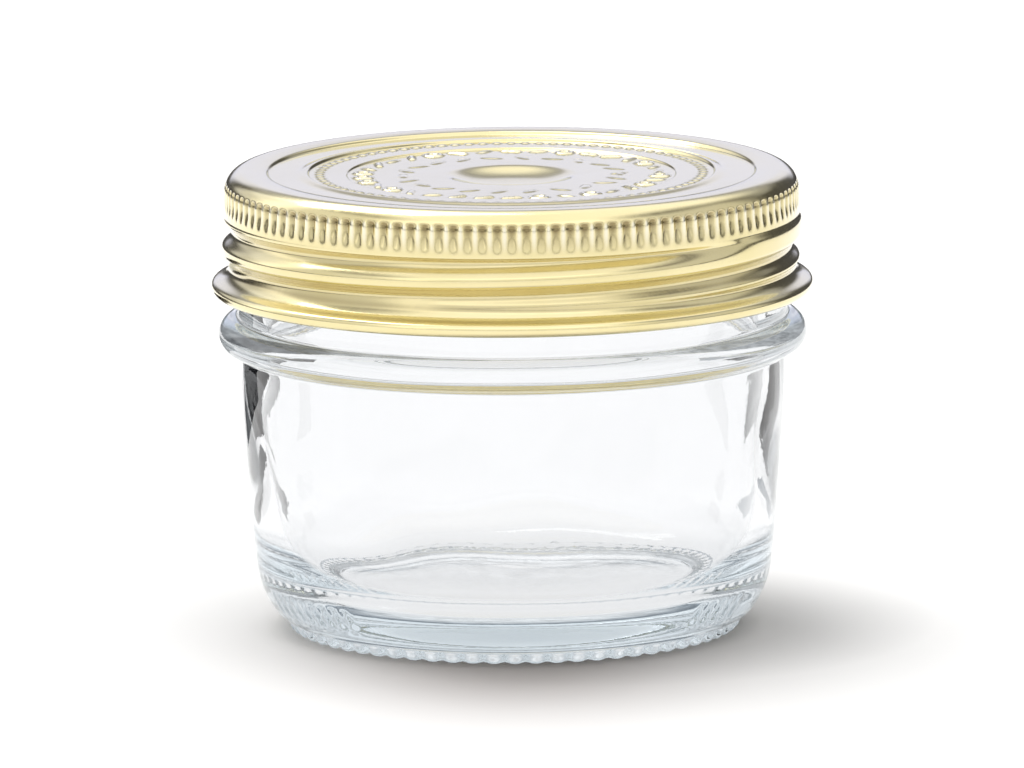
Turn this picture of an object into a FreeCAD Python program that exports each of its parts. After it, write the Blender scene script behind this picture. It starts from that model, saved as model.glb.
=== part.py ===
import FreeCAD, Part
import math
import os

# Short wide preserving jar with a threaded neck, a rolled-thread screw lid, a sealing disc
# and a sealing ring. The pieces stand in their closed position.
# Millimetres. +Z is up, the origin is the middle of the circle the jar stands on.
# Profiles are (radius, height) points in the XZ plane, turned about the Z axis.

Vector = FreeCAD.Vector
ORIGIN = Vector(0, 0, 0)
UP = Vector(0, 0, 1)

# ---------------------------------------------------------------- screw thread
PITCH = 5.08                    # of neck and lid, right handed
NECK_LEAD_DEG = (120.0, 560.0)  # start and end of the neck ridge, measured from +X
LID_LEAD_DEG = (172.0, 640.0)   # the same for the lid's rolled groove
LEAD_FADE_DEG = 34.0            # run-out at both ends
LID_LEAD_Z = 55.30              # height of the lid's groove at 180 degrees
NECK_LEAD_Z = LID_LEAD_Z + 1.75  # the neck ridge lies above the lid's groove
RIDGE_STEPS_PER_TURN = 36

# ---------------------------------------------------------------- glass jar
RIM_Z = 67.75                   # sealing land
MOUTH_R = 37.20
MOUTH_LOW_Z = 44.0              # bottom of the straight bore
RIM_ROUND_IN, RIM_ROUND_OUT = 0.80, 0.90
NECK_R = 41.30                  # outside of the neck wall
RIDGE_CREST_R = 42.05
RIDGE_ROOT_R = NECK_R - 0.8     # sunk in the wall so that the ridge fuses
RIDGE_FLANK_R = NECK_R + 0.50
RIDGE_END_SINK = 0.06           # depth of the crest inside the wall at both ends
COLLAR_R, COLLAR_Z = 41.65, 44.80  # centre circle of the round bead under the neck
COLLAR_ROUND = 2.50
COLLAR_UP_DEG, COLLAR_LOW_DEG = 84, -88  # where the round of the bead ends
BODY_TOP_R, BODY_TOP_Z = 40.80, 40.60
FOOT_IN_R, FOOT_OUT_R = 31.80, 33.10
FOOT_TOP = (34.10, 1.62)
FLOOR_EDGE = (29.40, 6.30)
FLOOR_MID_Z = 6.90
PUNT_Z = 2.70                   # hollow under the floor, at the axis

# Outside of the jar from the heel up: (radius, height)
HEEL_PROFILE = [
    (34.40, 1.75), (35.35, 2.35), (36.25, 3.40), (37.35, 5.30), (38.20, 7.50), (38.65, 9.75),
]
BODY_PROFILE = [
    HEEL_PROFILE[-1], (39.00, 13.0), (39.55, 19.0), (40.00, 25.0),
    (40.42, 31.0), (40.70, 36.0), (BODY_TOP_R, BODY_TOP_Z),
]
# Inside of the jar from the floor's corner up: (radius, height)
INNER_PROFILE = [
    (35.30, 13.0), (36.05, 19.0), (36.62, 27.0), (37.02, 36.0), (MOUTH_R, MOUTH_LOW_Z),
]

# V notches across the ring the jar stands on
NOTCH_COUNT = 66
NOTCH_DEPTH = 0.42
NOTCH_START_R, NOTCH_LENGTH = 30.8, 4.2
NOTCH_BELOW = 0.1               # how far the cutter reaches under the jar
NOTCH_HALF = math.radians(360.0 / NOTCH_COUNT) * 33.0 * 0.27 * 1.25  # half width of its base

# ---------------------------------------------------------------- screw lid
SHEET = 0.35                    # sheet thickness
LID_TOP_Z = 69.40
SHOULDER_ROUND = 2.60
RIB_CREST_R, RIB_ROOT_R = 43.08, 42.74
RIB_COUNT = 124
RIB_COLUMNS = RIB_COUNT * 8     # surface points right round
SHOULDER_R = RIB_ROOT_R - SHOULDER_ROUND   # centre circle of the shoulder round
SHOULDER_Z = LID_TOP_Z - SHOULDER_ROUND
RIB_TOP_ANGLE = math.radians(38)           # the ribs reach this far up the round

BAND_R = 43.52                  # outside of the threaded band
BAND_TOP_Z = 62.05
BAND_EDGE_Z = BAND_TOP_Z - 0.20  # where the band starts, under the step
STEP_TOP_Z = BAND_TOP_Z + 0.55  # top of the step between ribs and band
STEP_MID_R = (RIB_ROOT_R + BAND_R) / 2
BAND_ROW_COUNT, BAND_COLUMNS = 49, 120
GROOVE_R = 41.90                # bottom of the rolled groove, outside of the sheet
GROOVE_HALF = 1.80              # half width of the groove
GROOVE_CLEAR = 0.9              # the groove dies away over this height below the band edge
RECESS_R, RECESS_Z = 42.52, 54.70  # plain recess between the band and the hem
HEM_R, HEM_Z = 45.12, 52.20     # widest circle of the hem
HEM_LOW_Z = 51.00

DIMPLE_Z = 67.00                # middle of the top
DIMPLE_EDGE_R = 10.40
TOP_STEP_Z = (68.42, 68.62, 68.88)  # levels of the top, from the dimple out

# Stepped top, from the dimple out: (radius, height, outward shift of the inside)
LID_TOP_PROFILE = [
    (DIMPLE_EDGE_R, TOP_STEP_Z[0], 0.0),
    (24.40, TOP_STEP_Z[0], 0.12), (25.20, TOP_STEP_Z[1], 0.12),
    (30.10, TOP_STEP_Z[1], 0.12), (30.90, TOP_STEP_Z[2], 0.12),
    (36.30, TOP_STEP_Z[2], 0.16), (37.30, LID_TOP_Z, 0.16),
    (SHOULDER_R, LID_TOP_Z, 0.0),
]
# Ribs on the shoulder, downwards: (share of RIB_TOP_ANGLE, share of full rib depth)
SHOULDER_RIB_ROWS = [(1.0, 0.0), (0.78, 0.04), (0.55, 0.42), (0.32, 0.86), (0.0, 1.0)]
# Ribs on the straight skirt, downwards: (height, share of full rib depth)
SKIRT_RIB_ROWS = [
    (66.2, 1.0), (65.0, 1.0), (64.0, 1.0), (63.35, 0.85), (62.95, 0.35),
    (STEP_TOP_Z + 0.12, 0.03), (STEP_TOP_Z, 0.0),
]
# Band without its groove, from its top to the widest circle of the hem: (radius, height)
BAND_PROFILE = [
    (BAND_R, BAND_EDGE_Z), (BAND_R, 60.0), (BAND_R, 58.4), (BAND_R, 57.1),
    (BAND_R - 0.05, 56.45), (BAND_R - 0.30, 55.85), (RECESS_R + 0.26, 55.25),
    (RECESS_R, RECESS_Z), (RECESS_R + 0.22, 54.10), (RECESS_R + 0.90, 53.50),
    (HEM_R - 0.78, 53.05), (HEM_R - 0.18, 52.66), (HEM_R, HEM_Z),
]

# ---------------------------------------------------------------- sealing disc and ring
DISC_T = 0.28
DISC_TOP_Z = LID_TOP_Z - SHEET - 0.02  # just clear of the lid
DISC_R = 40.50
PANEL_R, PANEL_Z = 36.00, 66.30  # top of the sunk middle
PANEL_RISE = 0.22               # height of the flat raised ring on the panel

RING_IN_R, RING_OUT_R = 38.15, 40.30
RING_ROUND = 0.22

# Distance from a square corner to the middle of its unit round, along each side
ROUND_MID = 1 - math.sqrt(0.5)


# ---------------------------------------------------------------- profiles and solids
def at(point):
    return Vector(point[0], 0, point[1])


def line(start, end):
    return Part.LineSegment(at(start), at(end)).toShape()


def polyline(points):
    """One straight edge between each pair of neighbours."""
    return [line(start, end) for start, end in zip(points, points[1:])]


def arc(start, middle, end):
    return Part.Arc(at(start), at(middle), at(end)).toShape()


def spline_curve(points, start_dir, end_dir):
    curve = Part.BSplineCurve()
    curve.interpolate(Points=[at(point) for point in points],
                      InitialTangent=at(start_dir), FinalTangent=at(end_dir))
    return curve


def spline(points, start_dir, end_dir):
    return spline_curve(points, start_dir, end_dir).toShape()


def outward(solid):
    """Turn an inside-out solid the right way."""
    if solid.Volume < 0:
        solid.reverse()
    return solid


def spin(edges):
    """Turn a closed profile about the Z axis."""
    wire = Part.Wire(Part.__sortEdges__(edges))
    if not wire.isClosed():
        raise ValueError("open profile")
    solid = Part.Face(wire).revolve(ORIGIN, UP, 360)
    # revolve may return a bare shell
    if solid.ShapeType != "Solid":
        solid = Part.Solid(solid.Shells[0])
    return outward(solid)


def one(shape, what):
    """The single valid solid of a shape, with split faces merged."""
    shape = shape.removeSplitter()
    solids = shape.Solids
    if len(solids) != 1 or not solids[0].isValid():
        raise ValueError("%s: %d solids" % (what, len(solids)))
    return outward(solids[0])


# ---------------------------------------------------------------- thread lead
def lead_z(deg, z_at_180):
    return z_at_180 + PITCH * (deg - 180.0) / 360.0


def lead_fade(deg, lead_deg):
    """Share of full thread depth: 0 at the ends of the lead, 1 past the run-outs."""
    start_deg, end_deg = lead_deg
    share = min(deg - start_deg, end_deg - deg) / LEAD_FADE_DEG
    if share >= 1:
        return 1.0
    return 0.5 - 0.5 * math.cos(math.pi * max(share, 0))


# ---------------------------------------------------------------- glass jar
def make_neck_ridge():
    """Rounded trapezoid swept along the lead, sinking into the wall at both ends."""
    depth = RIDGE_CREST_R - NECK_R + RIDGE_END_SINK
    start_deg, end_deg = NECK_LEAD_DEG
    steps = int(round((end_deg - start_deg) / 360.0 * RIDGE_STEPS_PER_TURN))
    points = []
    for i in range(steps + 1):
        deg = start_deg + (end_deg - start_deg) * i / steps
        radius = NECK_R - depth * (1 - lead_fade(deg, NECK_LEAD_DEG))
        angle = math.radians(deg)
        points.append(Vector(radius * math.cos(angle), radius * math.sin(angle),
                             lead_z(deg, NECK_LEAD_Z)))
    path = Part.BSplineCurve()
    path.interpolate(Points=points)

    # (radius at full depth, height above the lead)
    lower_half = [(RIDGE_ROOT_R, -1.62), (RIDGE_FLANK_R, -0.80),
                  (RIDGE_CREST_R - 0.12, -0.50), (RIDGE_CREST_R, -0.26)]
    section = lower_half + [(radius, -z) for radius, z in reversed(lower_half)]
    angle = math.radians(start_deg)
    corners = [Vector((radius - depth) * math.cos(angle), (radius - depth) * math.sin(angle),
                      points[0].z + z) for radius, z in section]
    pipe = Part.BRepOffsetAPI.MakePipeShell(Part.Wire(path.toShape()))
    pipe.setBiNormalMode(UP)
    pipe.add(Part.makePolygon(corners + [corners[0]]))
    pipe.build()
    pipe.makeSolid()
    solid = pipe.shape()
    # the sweep may wrap its solid in a compound
    if solid.ShapeType != "Solid":
        solid = solid.Solids[0]
    return outward(solid)


def make_notch_cutters():
    cutters = []
    for i in range(NOTCH_COUNT):
        left = Vector(NOTCH_START_R, -NOTCH_HALF, -NOTCH_BELOW)
        right = Vector(NOTCH_START_R, NOTCH_HALF, -NOTCH_BELOW)
        peak = Vector(NOTCH_START_R, 0, NOTCH_DEPTH)
        triangle = Part.makePolygon([left, right, peak, left])
        cutter = Part.Face(triangle).extrude(Vector(NOTCH_LENGTH, 0, 0))
        cutter.rotate(ORIGIN, UP, 360.0 * i / NOTCH_COUNT)
        cutters.append(cutter)
    return Part.makeCompound(cutters)


def jar_profile():
    # small coves run from the collar bead to the neck above and the body below
    neck_low_z = COLLAR_Z + math.sqrt(COLLAR_ROUND ** 2 - (NECK_R - COLLAR_R) ** 2) + 0.45
    cove_low_z = COLLAR_Z - math.sqrt(COLLAR_ROUND ** 2 - (BODY_TOP_R - COLLAR_R) ** 2) - 0.75
    up_angle = math.radians(COLLAR_UP_DEG)
    collar_up = (COLLAR_R + COLLAR_ROUND * math.cos(up_angle),
                 COLLAR_Z + COLLAR_ROUND * math.sin(up_angle))
    collar_low = (COLLAR_R + COLLAR_ROUND * math.cos(math.radians(COLLAR_LOW_DEG)),
                  COLLAR_Z - COLLAR_ROUND)
    body_top = BODY_PROFILE[-1]
    rim_in, rim_out = RIM_ROUND_IN, RIM_ROUND_OUT
    return [
        # inside: floor, corner and wall
        line((0, PUNT_Z), (0, FLOOR_MID_Z)),
        spline([(0, FLOOR_MID_Z), (12.0, 6.78), (22.0, 6.45), FLOOR_EDGE], (1, 0), (1, 0.02)),
        spline([FLOOR_EDGE, (33.20, 7.60), (34.95, 10.40), INNER_PROFILE[0]],
               (1, 0.02), (0.05, 1)),
        spline(INNER_PROFILE, (0.05, 1), (0, 1)),
        line(INNER_PROFILE[-1], (MOUTH_R, RIM_Z - rim_in)),
        # rim
        arc((MOUTH_R, RIM_Z - rim_in),
            (MOUTH_R + rim_in * ROUND_MID, RIM_Z - rim_in * ROUND_MID),
            (MOUTH_R + rim_in, RIM_Z)),
        line((MOUTH_R + rim_in, RIM_Z), (NECK_R - rim_out, RIM_Z)),
        arc((NECK_R - rim_out, RIM_Z),
            (NECK_R - rim_out * ROUND_MID, RIM_Z - rim_out * ROUND_MID),
            (NECK_R, RIM_Z - rim_out)),
        # neck, collar bead and body
        line((NECK_R, RIM_Z - rim_out), (NECK_R, neck_low_z)),
        spline([(NECK_R, neck_low_z), (NECK_R + 0.10, neck_low_z - 0.32), collar_up],
               (0, -1), (1, -0.10)),
        arc(collar_up, (COLLAR_R + COLLAR_ROUND, COLLAR_Z), collar_low),
        spline([collar_low, (BODY_TOP_R + 0.16, cove_low_z + 0.42), (BODY_TOP_R, cove_low_z)],
               (-1, -0.03), (0, -1)),
        line((BODY_TOP_R, cove_low_z), body_top),
        spline(BODY_PROFILE[::-1], (0, -1), (-0.09, -1)),
        spline(HEEL_PROFILE[::-1], (-0.09, -1), (-1, -0.45)),
        # foot and hollow underside
        line(HEEL_PROFILE[0], FOOT_TOP),
        spline([FOOT_TOP, (34.02, 0.95), (33.72, 0.30), (FOOT_OUT_R, 0)],
               (0.02, -1), (-1, -0.02)),
        line((FOOT_OUT_R, 0), (FOOT_IN_R, 0)),
        spline([(FOOT_IN_R, 0), (30.60, 0.62), (27.0, 1.45), (16.0, 2.30), (0, PUNT_Z)],
               (-0.7, 0.35), (-1, 0)),
    ]


def make_jar():
    body = spin(jar_profile())
    body = one(body.fuse(make_neck_ridge()), "jar with ridge")
    return one(body.cut(make_notch_cutters()), "jar with notches")


# ---------------------------------------------------------------- surface through a point grid
def basis(i, degree, knots, x):
    """Value at x of B-spline basis function i."""
    if degree == 0:
        return 1.0 if knots[i] <= x < knots[i + 1] else 0.0
    rise = knots[i + degree] - knots[i]
    fall = knots[i + degree + 1] - knots[i + 1]
    value = 0.0
    if rise > 0:
        value += (x - knots[i]) / rise * basis(i, degree - 1, knots, x)
    if fall > 0:
        value += (knots[i + degree + 1] - x) / fall * basis(i + 1, degree - 1, knots, x)
    return value


def solve(matrix, right_sides):
    """Gaussian elimination; right_sides holds one list of numbers per equation."""
    size = len(matrix)
    rows = [list(matrix[i]) + list(right_sides[i]) for i in range(size)]
    for col in range(size):
        pivot = max(range(col, size), key=lambda i: abs(rows[i][col]))
        rows[col], rows[pivot] = rows[pivot], rows[col]
        divisor = rows[col][col]
        rows[col] = [value / divisor for value in rows[col]]
        for i in range(size):
            factor = rows[i][col]
            if i != col and factor != 0.0:
                rows[i] = [value - factor * above for value, above in zip(rows[i], rows[col])]
    return [row[size:] for row in rows]


def ring_poles(values):
    """Poles c of the closed uniform cubic through v: (c[i-1] + 4 c[i] + c[i+1]) / 6 = v[i]."""
    # the inverse filter of (1, 4, 1) / 6 is a two-sided power of root, cut off at reach
    root = math.sqrt(3) - 2
    reach = 30
    weights = [6.0 / (4 + 2 * root) * root ** k for k in range(reach)]
    count = len(values)
    poles = []
    for i in range(count):
        pole = values[i] * weights[0]
        for k in range(1, reach):
            pole += weights[k] * (values[(i + k) % count] + values[(i - k) % count])
        poles.append(pole)
    return poles


def grid_turn(place, rows, columns):
    """One face right round the Z axis; place(row, angle) gives a point's (radius, height)."""
    # poles right round: each row holds all x, then all y, then all z
    net = []
    for i in range(rows):
        points = []
        for j in range(columns):
            angle = 2 * math.pi * j / columns
            radius, z = place(i, angle)
            points.append((radius * math.cos(angle), radius * math.sin(angle), z))
        xs, ys, zs = (ring_poles(values) for values in zip(*points))
        net.append(xs + ys + zs)

    # then along the profile, with knots at all points but the second and the last but one
    inner_knots = [float(i) for i in range(2, rows - 2)]
    knots = [0.0] * 4 + inner_knots + [float(rows - 1)] * 4
    matrix = []
    for i in range(rows):
        # basis functions vanish at the last knot itself, so stay just short of it
        x = float(i) if i < rows - 1 else float(i) - 1e-12
        matrix.append([basis(k, 3, knots, x) for k in range(rows)])

    # the first pole belongs one knot before the seam: shift the net to put the seam at +X
    poles = []
    for row in solve(matrix, net):
        shifted = [(j - 1) % columns for j in range(columns)]
        poles.append([Vector(row[j], row[columns + j], row[2 * columns + j]) for j in shifted])

    profile_knots = sorted(set(knots))
    profile_mults = [4] + [1] * (len(profile_knots) - 2) + [4]
    round_knots = [float(k) for k in range(columns + 1)]
    round_mults = [1] * (columns + 1)
    surface = Part.BSplineSurface()
    # open along the profile, periodic right round, cubic both ways
    surface.buildFromPolesMultsKnots(poles, profile_mults, round_mults,
                                     profile_knots, round_knots, False, True, 3, 3)
    return surface.toShape()


# ---------------------------------------------------------------- screw lid
def shoulder_point(angle, inset=0.0):
    radius = SHOULDER_ROUND - inset
    return SHOULDER_R + radius * math.cos(angle), SHOULDER_Z + radius * math.sin(angle)


def lid_plain_profile():
    """Open edges of the lid's plain parts: outside, hem, then inside."""
    top_outside = [(radius, z) for radius, z, _ in LID_TOP_PROFILE]
    top_inside = [(radius + shift, z - SHEET) for radius, z, shift in reversed(LID_TOP_PROFILE)]
    dimple_side_z = DIMPLE_Z + 0.36
    dimple_lip_z = TOP_STEP_Z[0] - 0.22
    wall_in_r = RIB_ROOT_R - SHEET
    hem_in = (HEM_R - SHEET, HEM_Z)
    hem_bottom = (HEM_R - 1.02, HEM_LOW_Z)
    curl_end = (HEM_R - 1.30, HEM_LOW_Z + 0.66)
    curl_inner = (HEM_R - 0.92, HEM_LOW_Z + 0.62)

    outside = [spline([(0, DIMPLE_Z), (4.6, dimple_side_z), (8.3, dimple_lip_z),
                       top_outside[0]], (1, 0), (1, 0))]
    outside += polyline(top_outside)
    outside += [
        # shoulder, down to the top of the ribs
        arc(top_outside[-1], shoulder_point((math.radians(90) + RIB_TOP_ANGLE) / 2),
            shoulder_point(RIB_TOP_ANGLE)),
        # step from the ribs out to the band
        spline([(RIB_ROOT_R, STEP_TOP_Z), (STEP_MID_R, BAND_TOP_Z + 0.20),
                (BAND_R, BAND_EDGE_Z)], (0, -1), (0, -1)),
    ]
    hem = [
        arc((HEM_R, HEM_Z), (HEM_R - 0.22, HEM_Z - 0.78), hem_bottom),
        arc(hem_bottom, (HEM_R - 1.42, HEM_LOW_Z + 0.22), curl_end),
        line(curl_end, curl_inner),
        spline([curl_inner, (HEM_R - 0.50, HEM_LOW_Z + 0.84), hem_in], (1, -0.05), (0, 1)),
    ]
    inside = [
        # from the band up to the shoulder
        spline([(BAND_R - SHEET, BAND_EDGE_Z), (STEP_MID_R - SHEET - 0.04, BAND_TOP_Z + 0.12),
                (wall_in_r, STEP_TOP_Z - 0.12)], (0, 1), (0, 1)),
        line((wall_in_r, STEP_TOP_Z - 0.12), (wall_in_r, SHOULDER_Z)),
        arc((wall_in_r, SHOULDER_Z), shoulder_point(math.radians(45), SHEET), top_inside[0]),
    ]
    inside += polyline(top_inside)
    inside.append(spline([top_inside[-1], (8.36, dimple_lip_z - SHEET),
                          (4.6, dimple_side_z - SHEET), (0, DIMPLE_Z - SHEET)],
                         (-1, 0), (-1, 0)))
    return outside + hem + inside


def make_rib_face():
    """Grip ribs that die away into the shoulder above and the band below."""
    rows = [shoulder_point(RIB_TOP_ANGLE * share) + (depth,)
            for share, depth in SHOULDER_RIB_ROWS]
    rows += [(RIB_ROOT_R, z, depth) for z, depth in SKIRT_RIB_ROWS]

    def place(i, angle):
        radius, z, depth = rows[i]
        wave = (0.5 - 0.5 * math.cos(RIB_COUNT * angle)) ** 0.85
        return radius + (RIB_CREST_R - RIB_ROOT_R) * depth * wave, z

    return grid_turn(place, len(rows), RIB_COLUMNS)


def groove_share(angle, z):
    """How deep the rolled groove is at an angle and a height, from 0 to 1."""
    # the groove keeps clear of the step above the band
    clear = min(1.0, max(0.0, (BAND_EDGE_Z - z) / GROOVE_CLEAR))
    clear = clear * clear * (3 - 2 * clear)
    deepest = 0.0
    for turn in range(3):
        deg = math.degrees(angle) + 360.0 * turn
        across = (z - lead_z(deg, LID_LEAD_Z)) / GROOVE_HALF
        if abs(across) < 1 and LID_LEAD_DEG[0] < deg < LID_LEAD_DEG[1]:
            depth = lead_fade(deg, LID_LEAD_DEG) * math.cos(math.pi * across / 2) ** 2
            deepest = max(deepest, depth)
    return deepest * clear


def band_points():
    """Points evenly spaced by parameter along the band's plain profile."""
    curve = spline_curve(BAND_PROFILE, (0, -1), (0, -1))
    first, last = curve.FirstParameter, curve.LastParameter
    points = []
    for i in range(BAND_ROW_COUNT):
        point = curve.value(first + (last - first) * i / (BAND_ROW_COUNT - 1))
        points.append((point.x, point.z))
    # exact ends, to meet the step and the hem
    points[0], points[-1] = BAND_PROFILE[0], BAND_PROFILE[-1]
    return points


def make_band_faces():
    """Outside and inside of the threaded band, the inside one sheet thickness in."""
    base = band_points()

    def band_r(i, angle):
        radius, z = base[i]
        # less groove where the plain profile is already further in
        share = min(1.0, (radius - GROOVE_R) / (BAND_R - GROOVE_R))
        return radius - (BAND_R - GROOVE_R) * share * groove_share(angle, z)

    def outside(i, angle):
        return band_r(i, angle), base[i][1]

    def inside(i, angle):
        if i in (0, BAND_ROW_COUNT - 1):
            return base[i][0] - SHEET, base[i][1]
        # offset square to the profile's slope at this row
        run = band_r(i + 1, angle) - band_r(i - 1, angle)
        rise = base[i + 1][1] - base[i - 1][1]
        length = math.hypot(run, rise)
        return band_r(i, angle) + SHEET * rise / length, base[i][1] - SHEET * run / length

    return [grid_turn(place, BAND_ROW_COUNT, BAND_COLUMNS) for place in (outside, inside)]


def make_lid():
    faces = []
    for edge in lid_plain_profile():
        faces += edge.revolve(ORIGIN, UP, 360).Faces
    faces.append(make_rib_face())
    faces += make_band_faces()

    skin = Part.makeCompound(faces)
    skin.sewShape()
    shells = skin.Shells
    if len(shells) != 1 or not shells[0].isClosed():
        raise ValueError("lid skin is open: %d shells" % len(shells))
    solid = outward(Part.Solid(shells[0]))
    if not solid.isValid():
        raise ValueError("lid is not valid")
    return solid


# ---------------------------------------------------------------- sealing disc
def make_disc():
    top, bottom = DISC_TOP_Z, DISC_TOP_Z - DISC_T
    panel, panel_low = PANEL_Z, PANEL_Z - DISC_T
    # upper side: panel with its raised ring, wall, flat rim
    edges = polyline([(0, panel), (20.0, panel), (20.5, panel + PANEL_RISE),
                      (30.5, panel + PANEL_RISE), (31.0, panel), (PANEL_R - 0.25, panel)])
    edges += [
        spline([(PANEL_R - 0.25, panel), (PANEL_R + 0.16, panel + 0.42),
                (PANEL_R + 0.42, panel + 1.25), (37.25, top - 0.55), (38.0, top)],
               (1, 0.05), (1, 0.05)),
        line((38.0, top), (DISC_R - 0.30, top)),
        arc((DISC_R - 0.30, top), (DISC_R - 0.06, top - 0.12), (DISC_R, top - DISC_T * 1.2)),
    ]
    # underside, from the edge back to the axis
    edges += polyline([(DISC_R, top - DISC_T * 1.2), (DISC_R - 0.10, bottom), (38.05, bottom)])
    edges.append(spline([(38.05, bottom), (37.48, top - 0.55 - DISC_T * 0.75),
                         (PANEL_R + 0.42 - DISC_T * 0.2, panel + 1.25 - DISC_T * 1.1),
                         (PANEL_R + 0.16 - DISC_T * 0.35, panel + 0.42 - DISC_T * 1.1),
                         (PANEL_R - 0.30, panel_low)], (-1, -0.05), (-1, -0.05)))
    edges += polyline([(PANEL_R - 0.30, panel_low), (31.1, panel_low),
                       (30.4, panel_low + PANEL_RISE), (20.6, panel_low + PANEL_RISE),
                       (19.9, panel_low), (0, panel_low), (0, panel)])
    return one(spin(edges), "disc")


# ---------------------------------------------------------------- sealing ring
def make_ring():
    """Fills the gap between rim and disc, with its two lower edges rounded."""
    low, high = RIM_Z, DISC_TOP_Z - DISC_T
    mid = RING_ROUND * ROUND_MID
    in_start, in_end = (RING_IN_R, low + RING_ROUND), (RING_IN_R + RING_ROUND, low)
    out_start, out_end = (RING_OUT_R - RING_ROUND, low), (RING_OUT_R, low + RING_ROUND)
    edges = [line(in_end, out_start),
             arc(out_start, (RING_OUT_R - mid, low + mid), out_end)]
    edges += polyline([out_end, (RING_OUT_R, high), (RING_IN_R, high), in_start])
    edges.append(arc(in_start, (RING_IN_R + mid, low + mid), in_end))
    return one(spin(edges), "ring")


PIECES = {
    "glass_jar": make_jar,
    "screw_lid": make_lid,
    "sealing_disc": make_disc,
    "sealing_ring": make_ring,
}

os.makedirs("parts", exist_ok=True)
for name, make in PIECES.items():
    make().exportStep("parts/%s.step" % name)
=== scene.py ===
"""Round glass jar with a gold-lacquered screw lid, a sealing disc and a rubber ring.

The jar stands on z = 0 round the Z axis. The camera looks along +Y, so the front is -Y and
the left is -X. Shapes are worked out in millimetres and built in metres.
"""
import math

import bpy
import mathutils
import numpy as np
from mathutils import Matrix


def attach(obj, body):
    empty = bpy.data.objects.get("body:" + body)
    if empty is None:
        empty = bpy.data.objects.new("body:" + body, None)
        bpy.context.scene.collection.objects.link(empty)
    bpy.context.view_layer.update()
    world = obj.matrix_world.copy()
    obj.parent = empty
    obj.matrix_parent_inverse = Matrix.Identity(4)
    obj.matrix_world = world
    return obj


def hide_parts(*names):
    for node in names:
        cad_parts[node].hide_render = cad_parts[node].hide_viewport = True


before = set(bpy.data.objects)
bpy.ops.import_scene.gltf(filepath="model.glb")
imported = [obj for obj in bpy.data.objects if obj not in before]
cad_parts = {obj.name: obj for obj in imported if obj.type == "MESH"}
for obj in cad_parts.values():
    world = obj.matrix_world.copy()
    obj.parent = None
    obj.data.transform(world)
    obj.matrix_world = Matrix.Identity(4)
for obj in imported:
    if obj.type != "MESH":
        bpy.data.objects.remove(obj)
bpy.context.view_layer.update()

MM = 0.001
TAU = 2 * math.pi
rng = np.random.default_rng(11)

# ------------------------------------------------------------------ sizes, mm
# screw thread; the leads are its first and last angles in degrees
PITCH = 5.08
THREAD_TURNS = 3
LID_LEAD_Z180 = 55.30            # height of the lid thread at 180 degrees
NECK_ABOVE_LID = 1.75
NECK_LEAD = (120.0, 560.0)
LID_LEAD = (172.0, 690.0)
LEAD_FADE = 34.0                 # degrees over which a thread end dies away
RIDGE_HALF = 1.30
GROOVE_HALF = 2.30

# glass
RIM_Z = 67.75
NECK_R = 41.30
RIDGE_R = 42.05
MOUTH_R = 37.20
LIP_OUT, LIP_IN = 0.9, 0.8       # rounding of the rim outside and inside
BEAD_R, BEAD_Z, BEAD_ROUND = 41.65, 44.80, 2.50

# lid
LID_T = 0.35
LID_TOP_Z = 69.40
BAND_R = 43.52
BAND_TOP_Z = 62.05
ROLL_R = 41.90                   # radius at the bottom of the lid thread
HEM_R, HEM_Z, HEM_LOW_Z = 45.12, 52.20, 51.00
CREST_R = 43.08                  # wall radius between the grip flutes
FLUTES = 124
FLUTE_TOP_Z, FLUTE_LOW_Z = 67.75, 63.00
FLUTE_DEPTH = 0.50
INNER_FLUTE_DEPTH = 0.85 * FLUTE_DEPTH
SHOULDER_W, SHOULDER_H = 2.95, 3.10
SHOULDER_R = CREST_R - SHOULDER_W
SHOULDER_Z = LID_TOP_Z - SHOULDER_H

# disc and ring
DISC_T = 0.28
DISC_TOP_Z = LID_TOP_Z - LID_T - 0.02
PAN_Z = 66.30                    # sunken face of the disc
SEAL_R0, SEAL_R1 = 38.15, 40.30

# points round the axis
GLASS_COLUMNS = 396
PLAIN_COLUMNS = 2 * FLUTES
TOP_COLUMNS = 4 * FLUTES
FLUTE_COLUMNS = 8 * FLUTES

# directions in an (r, z) outline
OUT, IN, UP, DOWN = (1, 0), (-1, 0), (0, 1), (0, -1)


# ------------------------------------------------------------------ outlines, as (r, z)
def spline(points, count, start, end):
    """count points along a smooth curve through points, with the given end directions."""
    p = np.array(points, float)
    dist = np.r_[0, np.cumsum(np.hypot(*np.diff(p, axis=0).T))]
    last = len(p) - 1
    matrix = np.zeros((last + 1, last + 1))
    rhs = np.zeros((last + 1, 2))
    h = np.diff(dist)
    for i in range(1, last):
        matrix[i, i - 1] = h[i]
        matrix[i, i] = 2 * (h[i - 1] + h[i])
        matrix[i, i + 1] = h[i - 1]
        rhs[i] = 3 * (h[i] * (p[i] - p[i - 1]) / h[i - 1] + h[i - 1] * (p[i + 1] - p[i]) / h[i])
    matrix[0, 0] = matrix[last, last] = 1
    rhs[0] = np.array(start) / np.hypot(*start)
    rhs[last] = np.array(end) / np.hypot(*end)
    slope = np.linalg.solve(matrix, rhs)
    s = np.linspace(0, dist[-1], count)
    i = np.clip(np.searchsorted(dist, s, side="right") - 1, 0, last - 1)
    u = ((s - dist[i]) / h[i])[:, None]
    span = h[i][:, None]
    return ((2 * u**3 - 3 * u**2 + 1) * p[i] + (u**3 - 2 * u**2 + u) * span * slope[i]
            + (-2 * u**3 + 3 * u**2) * p[i + 1] + (u**3 - u**2) * span * slope[i + 1])


def line(start, end, count):
    return np.linspace(start, end, count)


def arc(r, z, radius, start, end, count):
    """Arc about (r, z) between two angles in degrees."""
    t = np.radians(np.linspace(start, end, count))
    return np.c_[r + radius * np.cos(t), z + radius * np.sin(t)]


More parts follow.
